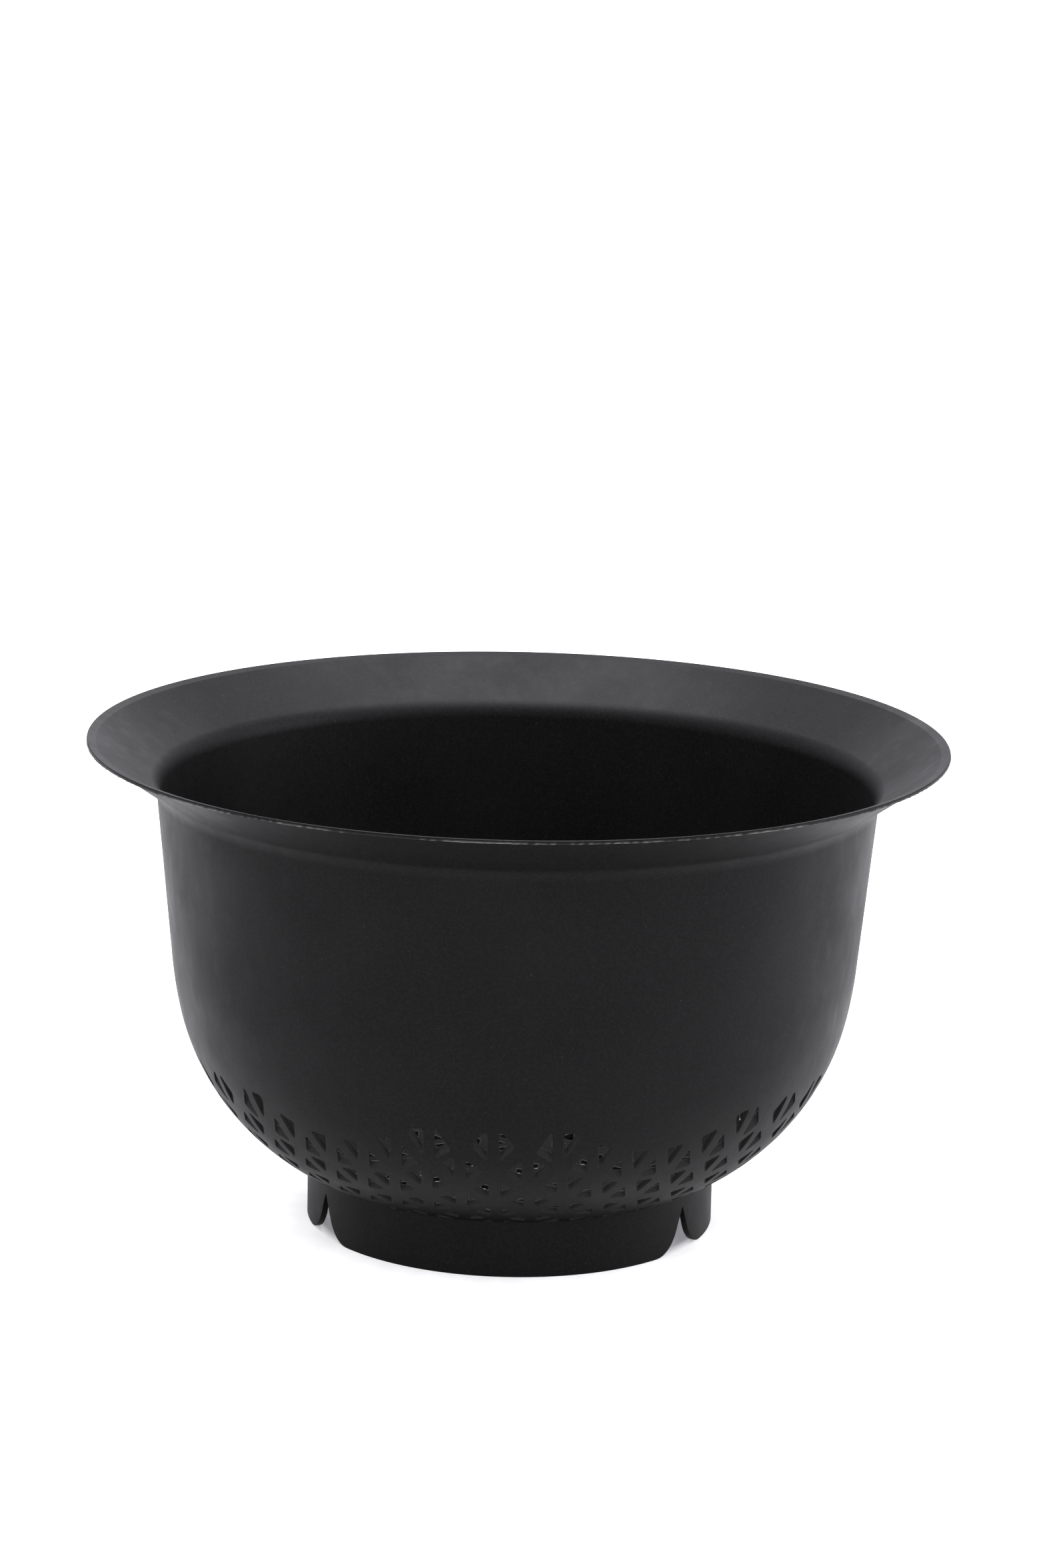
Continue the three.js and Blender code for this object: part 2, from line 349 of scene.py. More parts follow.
def outline_runs(corners):
    """Runs round a closed section given by its corners (r, z, fillet radius, steps). The section runs
    anticlockwise and starts at a sharp corner, one whose radius is 0."""
    runs, run = [], []
    count = len(corners)
    for i in range(count):
        before, here, after = (np.array(corners[(i + k) % count][:2], float) for k in (-1, 0, 1))
        radius, steps = corners[i][2:]
        if radius:
            run += corner_arc(before, here, after, radius, steps)
            continue
        if run:
            runs.append(run + [line_run(before, here)[1]])
        elif i:
            runs.append(line_run(before, here))
        run = []
        if corners[(i + 1) % count][2]:
            run = [line_run(here, after)[0]]
    before, here = (np.array(corners[k][:2], float) for k in (-1, 0))
    runs.append((run + [line_run(before, here)[1]]) if run else line_run(before, here))
    return runs


# ---- Holes of the triangular grid -----------------------------------------------------------------

CELL = 2 * RIB_PITCH / math.sqrt(3)
HOLE_REACH = 2 * (RIB_PITCH / 3 - RIB_WIDTH / 2)
FLATS = [math.radians(a) for a in range(0, 360, 60)]


def hole_centres():
    """(x, y, bearing that the hole points to) for the whole grid."""
    found = []
    for rib in range(-GRID_ROWS, GRID_ROWS + 1):
        for step in range(-2 * GRID_ROWS, 2 * GRID_ROWS + 1):
            if (rib + step) % 2:
                found.append(((rib + 1 / 3) * RIB_PITCH, step * CELL / 2, 0.0))
                found.append(((rib - 1 / 3) * RIB_PITCH, step * CELL / 2, math.pi))
    inside = GRID_ROWS * RIB_PITCH
    found = [
        h for h in found
        if max(h[0] * math.cos(f) + h[1] * math.sin(f) for f in FLATS) < inside
    ]
    for flat in FLATS:
        for half in range(-2 * EXTRA_ROW_HALF, 2 * EXTRA_ROW_HALF + 1):
            inverted = half % 2
            out = (GRID_ROWS + (2 if inverted else 1) / 3) * RIB_PITCH - EXTRA_ROW_INSET
            along = half * CELL / 2
            found.append((
                out * math.cos(flat) - along * math.sin(flat),
                out * math.sin(flat) + along * math.cos(flat),
                flat + (math.pi if inverted else 0),
            ))
    return found


def clip(polygon, direction, limit, keep_below):
    """The part of a polygon on one side of the line at a distance along a direction."""
    sign = 1 if keep_below else -1
    kept = []
    for here, there in zip(polygon, polygon[1:] + polygon[:1]):
        a, b = sign * (limit - here @ direction), sign * (limit - there @ direction)
        if a >= 0:
            kept.append(here)
        if (a > 0 > b) or (a < 0 < b):
            kept.append(here + (there - here) * a / (a - b))
    return kept


def rounded(polygon, radius, steps):
    """Points round a convex polygon with filleted corners, and the outward direction at each."""
    points, outward = [], []
    count = len(polygon)
    lengths = [np.linalg.norm(polygon[(i + 1) % count] - polygon[i]) for i in range(count)]
    for i in range(count):
        before, corner, after = polygon[i - 1], polygon[i], polygon[(i + 1) % count]
        back = (before - corner) / lengths[i - 1]
        ahead = (after - corner) / lengths[i]
        half = math.acos(float(np.clip(back @ ahead, -1, 1))) / 2
        reach = min(radius / math.tan(half), 0.4 * lengths[i - 1], 0.4 * lengths[i])
        fillet = reach * math.tan(half)
        centre = corner + (back + ahead) / np.linalg.norm(back + ahead) * fillet / math.sin(half)
        first = math.atan2(*(corner + back * reach - centre)[::-1])
        turn = math.pi - 2 * half
        for k in range(steps + 1):
            a = first + turn * k / steps
            spoke = np.array([math.cos(a), math.sin(a)])
            points.append(centre + fillet * spoke)
            outward.append(spoke)
        side = np.array([ahead[1], -ahead[0]])
        start, stop = corner + ahead * reach, after - ahead * min(reach, 0.4 * lengths[i])
        points.append((start + stop) / 2)
        outward.append(side)
    return np.array(points), np.array(outward)


def hole_outlines():
    """(points, outward directions) of every hole that is open, as two lists: in the foot, outside it."""
    inside, outside = [], []
    for x, y, bearing in hole_centres():
        centre = np.array([x, y])
        corners = [
            centre + HOLE_REACH * np.array([math.cos(bearing + a), math.sin(bearing + a)])
            for a in (0, 2 * math.pi / 3, 4 * math.pi / 3)
        ]
        outward = centre / max(np.linalg.norm(centre), 1e-9)
        reaches = [c @ outward for c in corners]
        if min(reaches) > GRID_EDGE_RADIUS - SMALLEST_HOLE:
            continue
        trimmed = clip(corners, outward, GRID_EDGE_RADIUS, True)
        if min(reaches) < FOOT_CLEAR_IN - SMALLEST_HOLE:
            inside.append(clip(trimmed, outward, FOOT_CLEAR_IN, True))
        if max(reaches) > FOOT_CLEAR_OUT + SMALLEST_HOLE:
            outside.append(clip(trimmed, outward, FOOT_CLEAR_OUT, False))
    return [rounded(p, HOLE_CORNER, 3) for p in inside], [rounded(p, HOLE_CORNER, 3) for p in outside]


def soft_edge(skin, dish, plan, outward):
    """Three rows that round a hole's edge where it meets one surface of the shell: on the surface,
    halfway round and on the hole's own upright wall. Returns (rows, their normals)."""
    r = np.hypot(plan[:, 0], plan[:, 1])
    radial = plan / r[:, None]
    sin = dish.slope(r)[1]
    across = (outward * radial).sum(1) / sin
    along = outward[:, 0] * radial[:, 1] - outward[:, 1] * radial[:, 0]
    back = HOLE_EDGE / np.hypot(across, along)
    edge_plan = plan + outward * back[:, None]
    on_skin = dish.lift(edge_plan)
    corner = dish.lift(plan)
    on_wall = corner + np.array([0, 0, dish.facing * HOLE_EDGE])
    middle = (on_skin + 2 * corner + on_wall) / 4
    skin_normals = dish.normals(edge_plan)
    wall_normals = np.column_stack([-outward, np.zeros(len(plan))])
    middle_normals = skin_normals + wall_normals
    middle_normals /= np.linalg.norm(middle_normals, axis=1)[:, None]
    # painted highlight on a hole's inner edge, painted light on its walls and on its outer edge's
    # rounding
    crest_painted_light = HOLE_CREST_PAINTED_HIGHLIGHT if dish.facing < 0 else HOLE_WALL_PAINTED_LIGHT
    rows = [skin.add(on_skin), skin.add(middle, crest_painted_light), skin.add(on_wall, HOLE_WALL_PAINTED_LIGHT)]
    return rows, [skin_normals, middle_normals, wall_normals], edge_plan


def fill(skin, dish, borders, holes, spacing, low, high):
    """Covers a pierced stretch of the shell's surface. borders are (row, plan), the outermost first,
    and holes are the rows and plans of the soft edges that lie on this surface."""
    plans, rows, owner, edges = [], [], [], []
    total = 0
    for number, (row, plan) in enumerate(borders + holes):
        plans.append(plan)
        rows.append(row)
        owner += [number] * len(row)
        edges += [(total + i, total + (i + 1) % len(row)) for i in range(len(row))]
        total += len(row)
    flat = dish.unroll(np.vstack(plans))
    loose_plan = loose_points(dish, flat, [p.mean(0) for _, p in holes], spacing, low, high)
    loose = dish.unroll(loose_plan)
    rows.append(skin.add(dish.lift(loose_plan)))
    owner += [-1] * len(loose)
    plan = np.vstack(plans + [loose_plan])
    index = np.concatenate(rows)
    owner = np.array(owner)
    normals = dish.normals(plan)
    coords = [Vector(p) for p in np.vstack([flat, loose])]
    found = delaunay_2d_cdt(coords, edges, [], 0, 1e-5, True)
    source = [ids[0] for ids in found[3]]
    for triangle in found[2]:
        a, b, c = (source[v] for v in triangle)
        same = owner[a] == owner[b] == owner[c]
        if same and owner[a] > 0:
            continue  # inside a hole, or inside the inner border
        corners = [(index[v], normals[v]) for v in (a, b, c)]
        skin.face(corners if dish.facing < 0 else corners[::-1])


def loose_points(dish, flat, centres, spacing, low, high):
    """Points spread in plan over a band of the surface, clear of its borders and of its holes. flat
    are the points of both on the unrolled surface, and centres are the middles of the holes."""
    start, stop = float(dish.length(low)), float(dish.length(high))
    rings = max(1, round((stop - start) / spacing))
    spread = []
    for i in range(1, rings):
        at = start + (stop - start) * i / rings
        count = max(6, round(2 * math.pi * at / spacing))
        angles = 2 * math.pi * (np.arange(count) + 0.5 * (i % 2)) / count
        spread.append(at * np.column_stack([np.cos(angles), np.sin(angles)]))
    spread = np.vstack(spread)
    out = np.hypot(*spread.T)
    plan = spread * (dish.reach(out) / out)[:, None]
    clear = nearest(spread, flat) > 0.35 * spacing
    return plan[clear & (nearest(plan, np.array(centres)) > RIB_PITCH / 3)]


def nearest(points, others):
    """Distance from each point to the nearest of the others."""
    gaps = []
    for block in np.array_split(points, max(1, len(points) // 400)):
        gaps.append(np.sqrt(((block[:, None, :] - others[None, :, :]) ** 2).sum(2).min(1)))
    return np.concatenate(gaps)


def pierce(skin, outlines):
    """The upright walls of the holes. Returns the (row, plan) pairs on the outer and inner surface."""
    outer, inner = [], []
    for plan, outward in outlines:
        low, low_normals, low_plan = soft_edge(skin, OUTER, plan, outward)
        high, high_normals, high_plan = soft_edge(skin, INNER, plan, outward)
        rows = high + low[::-1]
        normals = high_normals + low_normals[::-1]
        for k in range(5):
            skin.strip(rows[k], rows[k + 1], normals[k], normals[k + 1])
        outer.append((low[0], low_plan))
        inner.append((high[0], high_plan))
    return outer, inner


# ---- Pieces of the bowl ---------------------------------------------------------------------------

def point_on_wall(z, depth):
    """Radius of the straight taper at a height, at a depth inside the outer surface."""
    taper = math.radians(WALL_TAPER)
    return WALL_TOP[0] - (WALL_TOP[1] - z) * math.tan(taper) - depth / math.cos(taper)


def belly_angle(dish, z):
    return math.degrees(math.asin((BELLY_CENTRE[1] - z) / dish.radius))


def upper_wall():
    """The plain wall: belly and shoulder arcs and the straight taper, outside and inside."""
    outside = (
        arc_run(BELLY_CENTRE, BELLY_ARC, belly_angle(OUTER, STRAINER_SEAM), SHOULDER_BLEND, 3)
        + arc_run(SHOULDER_CENTRE, SHOULDER_ARC, SHOULDER_BLEND, WALL_TAPER, 9)[1:]
    )
    outside += line_run(outside[-1][:2], (point_on_wall(WALL_SEAM, 0), WALL_SEAM), 10)[1:]
    depth = SHOULDER_ARC - WALL
    inside = arc_run(SHOULDER_CENTRE, depth, WALL_TAPER, SHOULDER_BLEND, 9, -1)
    inside += arc_run(
        BELLY_CENTRE, INNER.radius, SHOULDER_BLEND, belly_angle(INNER, STRAINER_SEAM), 3, -1,
    )[1:]
    top = (point_on_wall(WALL_SEAM, WALL), WALL_SEAM)
    inside = line_run(top, inside[0][:2], 10)[:-1] + inside
    skin = Skin()
    turned(skin, [
        outside, line_run(outside[-1][:2], top),
        inside, line_run(inside[-1][:2], outside[0][:2]),
    ])
    return skin.make("upper_wall_skin")


FILLET_CENTRE = np.array(WALL_TOP) + FLANGE_FILLET * unit(WALL_TAPER)
LIP_TOP_BEND = np.array([
    RIM_RADIUS - LIP_WIDTH,
    TOTAL_HEIGHT - LIP_WIDTH * math.tan(math.radians(LIP_ANGLE)),
])
LIP_DROP = LIP_THICKNESS / math.cos(math.radians(LIP_ANGLE))
LIP_UNDER_BEND = LIP_TOP_BEND - np.array([0, LIP_DROP])
LIP_CUT = LIP_SEAM - 0.5  # the lip's seam, just below both bends


def tangent_angle(radius, point):
    """Where an arc about the fillet's centre hands over to the straight line to a point."""
    away = point - FILLET_CENTRE
    bearing = math.atan2(away[1], away[0]) + math.acos(radius / np.linalg.norm(away))
    return 180 - math.degrees(bearing)


def flange_line(depth, bend):
    """(angle where the fillet ends, its end, the point at the lip's seam) for one side."""
    radius = FLANGE_FILLET + depth
    angle = tangent_angle(radius, bend)
    end = FILLET_CENTRE - radius * unit(angle)
    at_seam = end + (bend - end) * (LIP_CUT - end[1]) / (bend[1] - end[1])
    return angle, end, at_seam


def rim_flange():
    """The conical flange and the fillet that joins it to the wall."""
    under_angle, under_end, under_seam = flange_line(0, LIP_UNDER_BEND)
    over_angle, over_end, over_seam = flange_line(WALL, LIP_TOP_BEND)
    foot = (point_on_wall(WALL_SEAM, 0), WALL_SEAM)
    inner_foot = (point_on_wall(WALL_SEAM, WALL), WALL_SEAM)
    under = line_run(foot, WALL_TOP)[:-1]
    under += arc_run(FILLET_CENTRE, -FLANGE_FILLET, WALL_TAPER, under_angle, 12)
    under += line_run(under_end, under_seam, 4)[1:]
    over = line_run(over_seam, over_end, 4)[:-1]
    over += arc_run(FILLET_CENTRE, -FLANGE_FILLET - WALL, over_angle, WALL_TAPER, 14, -1)
    over += line_run(over[-1][:2], inner_foot)[1:]
    skin = Skin()
    turned(skin, [under, line_run(under_seam, over_seam), over, line_run(inner_foot, foot)])
    return skin.make("rim_flange_skin")


def raggedness(seed, count, fine, coarse):
    """A smooth random wave round the rim, from -1 to 1, made of many whole-number frequencies."""
    draw = np.random.RandomState(seed)
    angles = 2 * math.pi * np.arange(count) / count
    wave = np.zeros(count)
    for (low, high, terms), share in ((COARSE_WAVES, coarse), (FINE_WAVES, fine)):
        for frequency in draw.randint(low, high, terms):
            wave += share * np.sin(frequency * angles + draw.uniform(0, 2 * math.pi)) / math.sqrt(terms)
    return np.clip(wave, -1, 1)


def rim_lip():
    """The flatter band at the rim, with a softened top edge and the mould's ragged parting line."""
    under_seam = flange_line(0, LIP_UNDER_BEND)[2]
    over_seam = flange_line(WALL, LIP_TOP_BEND)[2]
    edge = RIM_RADIUS - BURR
    slope = math.tan(math.radians(LIP_ANGLE))
    top_edge = (edge, TOTAL_HEIGHT - BURR * slope)
    low_edge = (edge - 0.05, LIP_UNDER_BEND[1] + (LIP_WIDTH - BURR) * slope)
    corners = [
        (*under_seam, 0, 0),
        (*LIP_UNDER_BEND, LIP_BEND_UNDER, 3),
        (low_edge[0] - BURR_FOOT, low_edge[1] - 0.03, 0, 0),
        (low_edge[0] + 0.02, low_edge[1] - 0.02, 0, 0),
        (low_edge[0], low_edge[1] + BURR_FOOT, 0, 0),
        (*top_edge, LIP_EDGE, 5),
        (*LIP_TOP_BEND, LIP_BEND_OVER, 4),
        (*over_seam, 0, 0),
    ]
    skin = Skin()
    runs = outline_runs(corners)
    burr = len(runs[0])  # the chain's first point past the underside
    out = BURR * (0.35 + 0.5 * raggedness(3, LIP_TURN, 0.9, 0.5))
    up = 0.05 * raggedness(8, LIP_TURN, 1.0, 0.4)
    pale = np.clip(0.4 + 0.7 * raggedness(5, LIP_TURN, 0.6, 0.7), 0.12, 1)
    ragged = {burr: (out, up, pale), burr + 1: (0, up, 0.3 * pale)}
    turned(skin, runs, count=LIP_TURN, ragged=ragged)
    return skin.make("rim_lip_skin")


def radial(count, sign):
    return ring_normals(sign, 0, count)


def strainer_wall(outlines):
    """The pierced lower wall, outside the foot."""
    skin = Skin()
    radii = [
        OUTER.radius_at(STRAINER_SEAM), INNER.radius_at(STRAINER_SEAM), GRID_SEAM, GRID_SEAM,
    ]
    dishes = [OUTER, INNER, INNER, OUTER]
    plans = [spokes(TURN) * r for r in radii]
    rows = [skin.add(dish.lift(plan)) for dish, plan in zip(dishes, plans)]
    up = ring_normals(0, 1)
    skin.strip(rows[0], rows[1], up, up)
    skin.strip(rows[2], rows[3], radial(TURN, -1), radial(TURN, -1))
    outer, inner = pierce(skin, outlines)
    borders = list(zip(rows, plans))
    fill(skin, OUTER, [borders[0], borders[3]], outer, LOOSE_SPACING, GRID_SEAM, radii[0])
    fill(skin, INNER, [borders[1], borders[2]], inner, LOOSE_SPACING, GRID_SEAM, radii[1])
    return skin.make("strainer_wall_skin")


def strainer_floor(outlines):
    """The pierced floor inside the foot, with the foot's collar down to the top of the lobes."""
    inner_r = FOOT_RADIUS - FOOT_WALL
    inside = (inner_r, float(OUTER.height(inner_r)))
    outside = (FOOT_RADIUS, float(OUTER.height(FOOT_RADIUS)))
    seam = (GRID_SEAM, float(OUTER.height(GRID_SEAM)))
    lower_in, lower_out = (inner_r, LOBE_TOP), (FOOT_RADIUS, LOBE_TOP)
    approach = (FOOT_CLEAR_IN, float(OUTER.height(FOOT_CLEAR_IN)))
    bend_in = corner_arc(approach, inside, lower_in, CREASE_INSIDE, 4)
    bend_out = corner_arc(lower_out, outside, seam, CREASE_OUTSIDE, 5)
    runs = [
        bend_in + [line_run(inside, lower_in)[1]],
        line_run(lower_in, lower_out),
        [line_run(lower_out, outside)[0]] + bend_out + [line_run(outside, seam)[1]],
    ]
    skin = Skin()
    under_plan = spokes(TURN) * bend_in[0][0]
    seam_plan = spokes(TURN) * GRID_SEAM
    under = skin.add(OUTER.lift(under_plan))
    seam_low, seam_high = skin.add(OUTER.lift(seam_plan)), skin.add(INNER.lift(seam_plan))
    turned(skin, runs, first=under, last=seam_low)
    skin.strip(seam_low, seam_high, radial(TURN, 1), radial(TURN, 1))
    outer, inner = pierce(skin, outlines)
    fill(skin, OUTER, [(under, under_plan)], outer, LOOSE_SPACING, 0, bend_in[0][0])
    fill(skin, INNER, [(seam_high, seam_plan)], inner, LOOSE_SPACING, 0, GRID_SEAM)
    return skin.make("strainer_floor_skin")


# ---- Foot lobes -----------------------------------------------------------------------------------

def notch_side():
    """Half a notch, from its apex down to its mouth, as (distance from its middle, height)."""
    half, height_top, corner = NOTCH_SLOT
    width, height = NOTCH_FLARE
    start = math.asin(1 - (height_top - corner) / height)
    flat = half + width * (1 - math.cos(start)) - corner
    top = [(x, height_top) for x in np.linspace(0, flat, 4)[:-1]]
    top += [
        (flat + corner * math.sin(a), height_top - corner + corner * math.cos(a))
        for a in np.linspace(0, math.pi / 2, 7)[:-1]
    ]
    flare = [
        (half + width * (1 - math.cos(a)), height * (1 - math.sin(a)))
        for a in np.linspace(start, math.pi / 2, 17)
    ]
    return np.array(top + flare)


def lobe_outline():
    """The free edge of a lobe unrolled on the outer face, from one notch's apex round the bottom to
    the next, as points (along, height) with the direction that points out of the material."""
    reach = FOOT_RADIUS * math.pi / 3
    side = notch_side()
    left = np.column_stack([side[:, 0] - reach, side[:, 1]])
    right = left[::-1] * np.array([-1, 1])
    step = 2 * reach / (TURN // 3)
    count = int((right[0, 0] - left[-1, 0]) / step)
    bottom = np.linspace(left[-1], right[0], count + 1)[1:-1]
    points = np.vstack([left, bottom, right])
    along = np.zeros_like(points)
    along[1:-1] = points[2:] - points[:-2]
    along[0], along[-1] = (1, 0), (1, 0)
    along /= np.linalg.norm(along, axis=1)[:, None]
    return points, np.column_stack([along[:, 1], -along[:, 0]])


def foot_lobe(name, bearing):
    """One third of the foot ring: a curved plate with softened free edges and a flat base."""
    points, outward = lobe_outline()
    reach = FOOT_RADIUS * math.pi / 3

    def place(flat, radius):
        angle = math.radians(bearing) + flat[:, 0] / FOOT_RADIUS
        return np.column_stack([radius * np.sin(angle), -radius * np.cos(angle), flat[:, 1]])

    def turn_out(flat, out, radial_part):
        angle = math.radians(bearing) + flat[:, 0] / FOOT_RADIUS
        normal = np.column_stack([
            np.cos(angle) * out[:, 0] + np.sin(angle) * radial_part,
            np.sin(angle) * out[:, 0] - np.cos(angle) * radial_part,
            out[:, 1],
        ])
        return normal / np.linalg.norm(normal, axis=1)[:, None]

    skin = Skin()
    rows, normals, faces = [], [], []
    for face, facing in ((FOOT_RADIUS, 1), (FOOT_RADIUS - FOOT_WALL, -1)):
        inset = points - outward * PLATE_EDGE
        on_face = place(inset, face)
        corner = place(points, face)
        on_edge = place(points, face - facing * PLATE_EDGE)
        middle = (on_face + 2 * corner + on_edge) / 4
        face_normals = turn_out(inset, 0 * outward, facing)
        sides = [skin.add(p) for p in (on_face, middle, on_edge)]
        bends = [face_normals, turn_out(points, outward, facing), turn_out(points, outward, 0)]
        faces.append((inset, sides, face_normals, face, facing))
        rows += sides if facing > 0 else sides[::-1]
        normals += bends if facing > 0 else bends[::-1]
    for k in range(5):
        skin.strip(rows[k + 1], rows[k], normals[k + 1], normals[k], closed=False)
    along = np.linspace(reach, -reach, TURN // 3 + 1)
    top = np.column_stack([along, np.full(len(along), LOBE_TOP)])
    top_rows = []
    for inset, sides, _, face, facing in faces:
        top_row = skin.add(place(top, face))
        top_rows.append(top_row)
        plate_face(skin, place, turn_out, inset, sides[0], top, top_row, face, facing)
    up = np.tile([0.0, 0.0, 1.0], (len(along), 1))
    skin.strip(top_rows[1], top_rows[0], up, up, closed=False)
    for end, top_end in ((0, -1), (-1, 0)):
        flat = points[[end]]
        sideways = turn_out(flat, np.array([[-1.0 if end == 0 else 1.0, 0.0]]), 0)[0]
        loop = [top_rows[0][top_end]] + [row[end] for row in rows] + [top_rows[1][top_end]]
        loop = loop if end == -1 else loop[::-1]
        skin.face([(index, sideways) for index in loop])
    return skin.make(name)


def plate_face(skin, place, turn_out, inset, edge_row, top, top_row, radius, facing):
    """Covers one curved face of a lobe, between its softened free edge and its top."""
    border = np.vstack([inset, top])
    columns = int(border[:, 0].max() / PLATE_SPACING)
    inside = [
        (x, z)
        for x in np.arange(-columns, columns + 1) * PLATE_SPACING
        for z in PLATE_HEIGHTS
        if np.hypot(*(border - (x, z)).T).min() > 0.4 * PLATE_SPACING and within(border, x, z)
    ]
    loose = np.array(inside)
    flat = np.vstack([border, loose])
    index = np.concatenate([edge_row, top_row, skin.add(place(loose, radius))])
    normals = turn_out(flat, np.zeros_like(flat), facing)
    found = delaunay_2d_cdt([Vector(p) for p in flat], [], [list(range(len(border)))], 1, 1e-5, True)
    source = [ids[0] for ids in found[3]]
    for triangle in found[2]:
        picked = [source[v] for v in triangle]
        if np.ptp(flat[picked, 1]) < 0.01:
            continue  # a sliver along the straight base or top
        corners = [(index[v], normals[v]) for v in picked]
        skin.face(corners if facing > 0 else corners[::-1])


def within(border, x, z):
    """Whether a point is inside a closed outline."""
    here, there = border, np.roll(border, -1, axis=0)
    crosses = (here[:, 1] > z) != (there[:, 1] > z)
    rise = np.where(crosses, there[:, 1] - here[:, 1], 1)
    at = here[:, 0] + (z - here[:, 1]) * (there[:, 0] - here[:, 0]) / rise
    return bool(np.count_nonzero(crosses & (at > x)) % 2)


# ---- Material -------------------------------------------------------------------------------------

def black_plastic():
    """Matte black moulded plastic: fine grain, faint mottle and streaks, a few dust specks, light
    scuffs, and a paler tone where the mesh says so: the rim's ragged moulding line, and painted
    highlight and painted light at the holes' edges and walls."""
    material = bpy.data.materials.new("black_plastic")
    material.use_nodes = True
    nodes, links = material.node_tree.nodes, material.node_tree.links
    shader = nodes["Principled BSDF"]
    shader.inputs["Specular IOR Level"].default_value = SPECULAR
    place = nodes.new("ShaderNodeTexCoord").outputs["Object"]

    def noise(kind, stretch=None):
        texture = nodes.new("ShaderNodeTexNoise")
        texture.inputs["Scale"].default_value, texture.inputs["Detail"].default_value = kind
        source = place
        if stretch:
            mapping = nodes.new("ShaderNodeMapping")
            mapping.inputs["Scale"].default_value = stretch
            links.new(place, mapping.inputs["Vector"])
            source = mapping.outputs["Vector"]
        links.new(source, texture.inputs["Vector"])
        return texture.outputs["Fac"]

    def remap(value, low, high, to_low, to_high):
        node = nodes.new("ShaderNodeMapRange")
        node.inputs["From Min"].default_value = low
        node.inputs["From Max"].default_value = high
        node.inputs["To Min"].default_value = to_low
        node.inputs["To Max"].default_value = to_high
        links.new(value, node.inputs["Value"])
        return node.outputs["Result"]

    def mix(factor, a, b):
        node = nodes.new("ShaderNodeMix")
        node.data_type = "RGBA"
        links.new(factor, node.inputs["Factor"])
        for socket, value in ((node.inputs["A"], a), (node.inputs["B"], b)):
            if isinstance(value, tuple):
                socket.default_value = (*value, 1)
            else:
                links.new(value, socket)
        return node.outputs["Result"]

    def bump(kind, amount, below=None):
        node = nodes.new("ShaderNodeBump")
        node.inputs["Strength"].default_value, node.inputs["Distance"].default_value = amount
        links.new(noise(kind), node.inputs["Height"])
        if below:
            links.new(below, node.inputs["Normal"])
        return node.outputs["Normal"]

    cloud = remap(noise(CLOUD_NOISE), 0.35, 0.65, 0, 1)
    tone = mix(cloud, DARK_TONE, LIGHT_TONE)
    streaks = remap(noise(STREAK_NOISE, UPRIGHT_STREAK), 0.35, 0.7, 0, STREAK_SHARE)
    tone = mix(streaks, tone, STREAK_TONE)
    mottle = remap(noise(MOTTLE_NOISE), 0.42, 0.68, 0, MOTTLE_SHARE)
    tone = mix(mottle, tone, MOTTLE_TONE)
    dust = remap(noise(DUST_NOISE), 0.755, 0.80, 0, DUST_SHARE)
    tone = mix(dust, tone, DUST_TONE)
    pale = nodes.new("ShaderNodeAttribute")
    pale.attribute_name = "pale"
    # paleness from the mesh: the rim's ragged moulding line, and painted highlight and painted light at
    # the holes' edges and walls
    tone = mix(pale.outputs["Fac"], tone, EDGE_FLASH_AND_HIGHLIGHT_TONE)
    links.new(tone, shader.inputs["Base Color"])

    low, high = ROUGHNESS - ROUGHNESS_SPREAD, ROUGHNESS + ROUGHNESS_SPREAD
    gloss = remap(noise(GLOSS_NOISE), 0.3, 0.7, low, high)
    scuffs = remap(noise(SCUFF_NOISE, UPRIGHT_SCUFF), 0.5, 0.75, 0, ROUGHNESS_SPREAD)
    scuffed = nodes.new("ShaderNodeMath")
    scuffed.operation = "SUBTRACT"
    links.new(gloss, scuffed.inputs[0])
    links.new(scuffs, scuffed.inputs[1])
    links.new(scuffed.outputs["Value"], shader.inputs["Roughness"])

    grain = bump(GRAIN_NOISE, GRAIN_BUMP)
    links.new(bump(RIPPLE_NOISE, RIPPLE_BUMP, grain), shader.inputs["Normal"])
    return material


# ---- Studio ---------------------------------------------------------------------------------------

def camera():
    """A long lens, a little above the bowl and slightly rolled."""
    yaw, pitch, roll = (math.radians(a) for a in (CAMERA_YAW, CAMERA_PITCH, CAMERA_ROLL))
    turn = math.radians(BOWL_TURN)
    data = bpy.data.cameras.new("camera")
    data.lens = CAMERA_LENS
    data.sensor_width = CAMERA_SENSOR
    data.clip_start, data.clip_end = 0.05, 100
    ahead = Vector((
        math.sin(yaw - turn) * math.cos(pitch), math.cos(yaw - turn) * math.cos(pitch), -math.sin(pitch),
    ))
    right = ahead.cross(Vector((0, 0, 1))).normalized()
    up = right.cross(ahead)
    right, up = (
        right * math.cos(roll) + up * math.sin(roll),
        up * math.cos(roll) - right * math.sin(roll),
    )
    made = bpy.data.objects.new("camera", data)
    place = Vector((
        math.sin(turn) * CAMERA_DISTANCE, -math.cos(turn) * CAMERA_DISTANCE, CAMERA_HEIGHT,
    )) * MM
    made.matrix_world = Matrix((
        (right.x, up.x, -ahead.x, place.x),
        (right.y, up.y, -ahead.y, place.y),
        (right.z, up.z, -ahead.z, place.z),
        (0, 0, 0, 1),
    ))
    bpy.context.scene.collection.objects.link(made)
    bpy.context.scene.camera = made


def softbox(name, place, target, size, power):
    """A square light that faces a target."""
    data = bpy.data.lights.new(name, "AREA")
    data.size = size
    data.energy = power
    data.color = LIGHT_TINT
    lamp = bpy.data.objects.new(name, data)
    lamp.location = place
    lamp.rotation_mode = "QUATERNION"
    lamp.rotation_quaternion = (Vector(target) - Vector(place)).to_track_quat("-Z", "Y")
    bpy.context.scene.collection.objects.link(lamp)


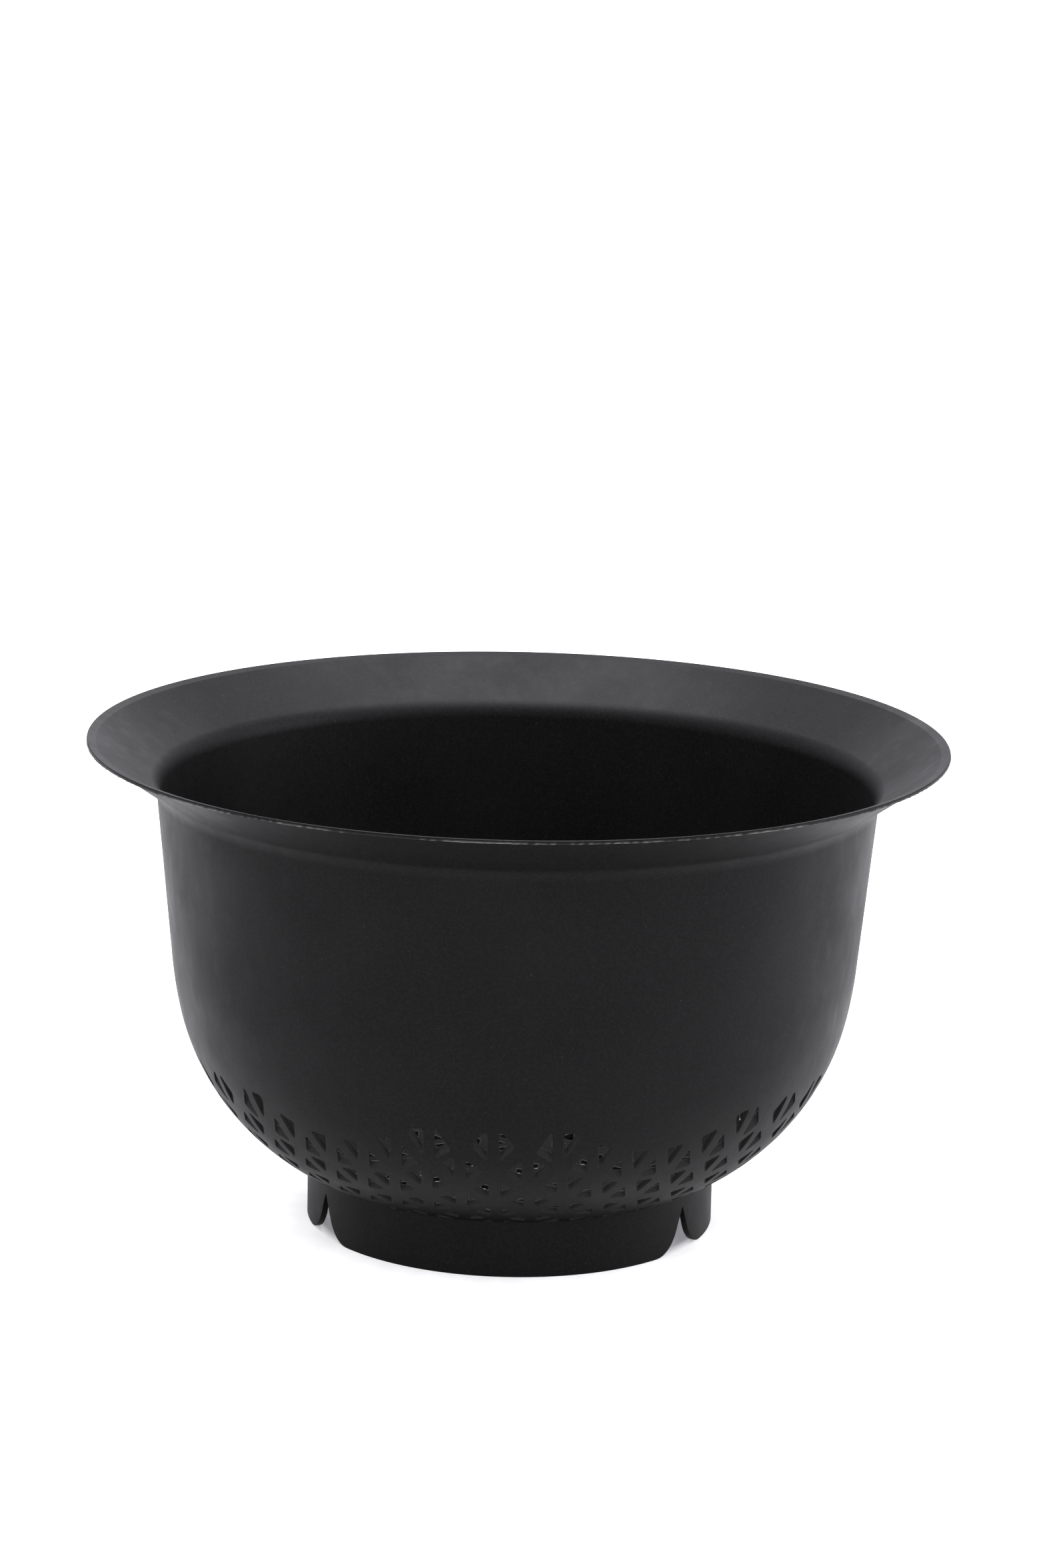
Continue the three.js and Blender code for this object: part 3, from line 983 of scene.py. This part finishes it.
def pale_floor():
    """A large pale floor. It glows a little, except inside the foot ring, where the glow fades out as a
    painted shadow under the bowl.
    """
    mesh = bpy.data.meshes.new("floor")
    corners = [(x * FLOOR_HALF, y * FLOOR_HALF, 0) for x, y in ((-1, -1), (1, -1), (1, 1), (-1, 1))]
    mesh.from_pydata(corners, [], [(0, 1, 2, 3)])
    floor = bpy.data.objects.new("floor", mesh)
    bpy.context.scene.collection.objects.link(floor)
    material = bpy.data.materials.new("pale_floor")
    material.use_nodes = True
    nodes, links = material.node_tree.nodes, material.node_tree.links
    shader = nodes["Principled BSDF"]
    shader.inputs["Base Color"].default_value = (*[FLOOR_TONE] * 3, 1)
    shader.inputs["Roughness"].default_value = 1
    shader.inputs["Specular IOR Level"].default_value = 0
    shader.inputs["Emission Color"].default_value = (1, 1, 1, 1)
    distance = nodes.new("ShaderNodeVectorMath")
    distance.operation = "LENGTH"
    links.new(nodes.new("ShaderNodeTexCoord").outputs["Object"], distance.inputs[0])
    # painted shadow: the floor's glow fades to nothing inside the foot ring
    glow_with_painted_shadow = nodes.new("ShaderNodeMapRange")
    glow_with_painted_shadow.inputs["From Min"].default_value = (FOOT_RADIUS - 2 * FOOT_WALL) * MM
    glow_with_painted_shadow.inputs["From Max"].default_value = FOOT_RADIUS * MM
    glow_with_painted_shadow.inputs["To Max"].default_value = FLOOR_GLOW
    links.new(distance.outputs["Value"], glow_with_painted_shadow.inputs["Value"])
    links.new(glow_with_painted_shadow.outputs["Result"], shader.inputs["Emission Strength"])
    mesh.materials.append(material)


def studio():
    """A pale floor under a bright surround, with softboxes overhead, behind and on the right."""
    scene = bpy.context.scene
    scene.view_settings.view_transform = "Standard"
    world = bpy.data.worlds.new("surround")
    scene.world = world
    world.use_nodes = True
    background = world.node_tree.nodes["Background"]
    background.inputs["Color"].default_value = (*LIGHT_TINT, 1)
    background.inputs["Strength"].default_value = SURROUND
    pale_floor()
    for name, (place, target, size, power) in SOFTBOXES.items():
        softbox(name, place, target, size, power)


camera()
studio()
plastic = black_plastic()
inside_foot, outside_foot = hole_outlines()
pieces = {
    "rim_lip": rim_lip(),
    "rim_flange": rim_flange(),
    "upper_wall": upper_wall(),
    "strainer_wall": strainer_wall(outside_foot),
    "strainer_floor": strainer_floor(inside_foot),
    "foot_lobe_front": foot_lobe("foot_lobe_front_skin", 0),
    "foot_lobe_right": foot_lobe("foot_lobe_right_skin", 120),
    "foot_lobe_left": foot_lobe("foot_lobe_left_skin", 240),
}
for node, piece in pieces.items():
    piece.data.materials.append(plastic)
    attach(piece, "root")
    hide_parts(node)
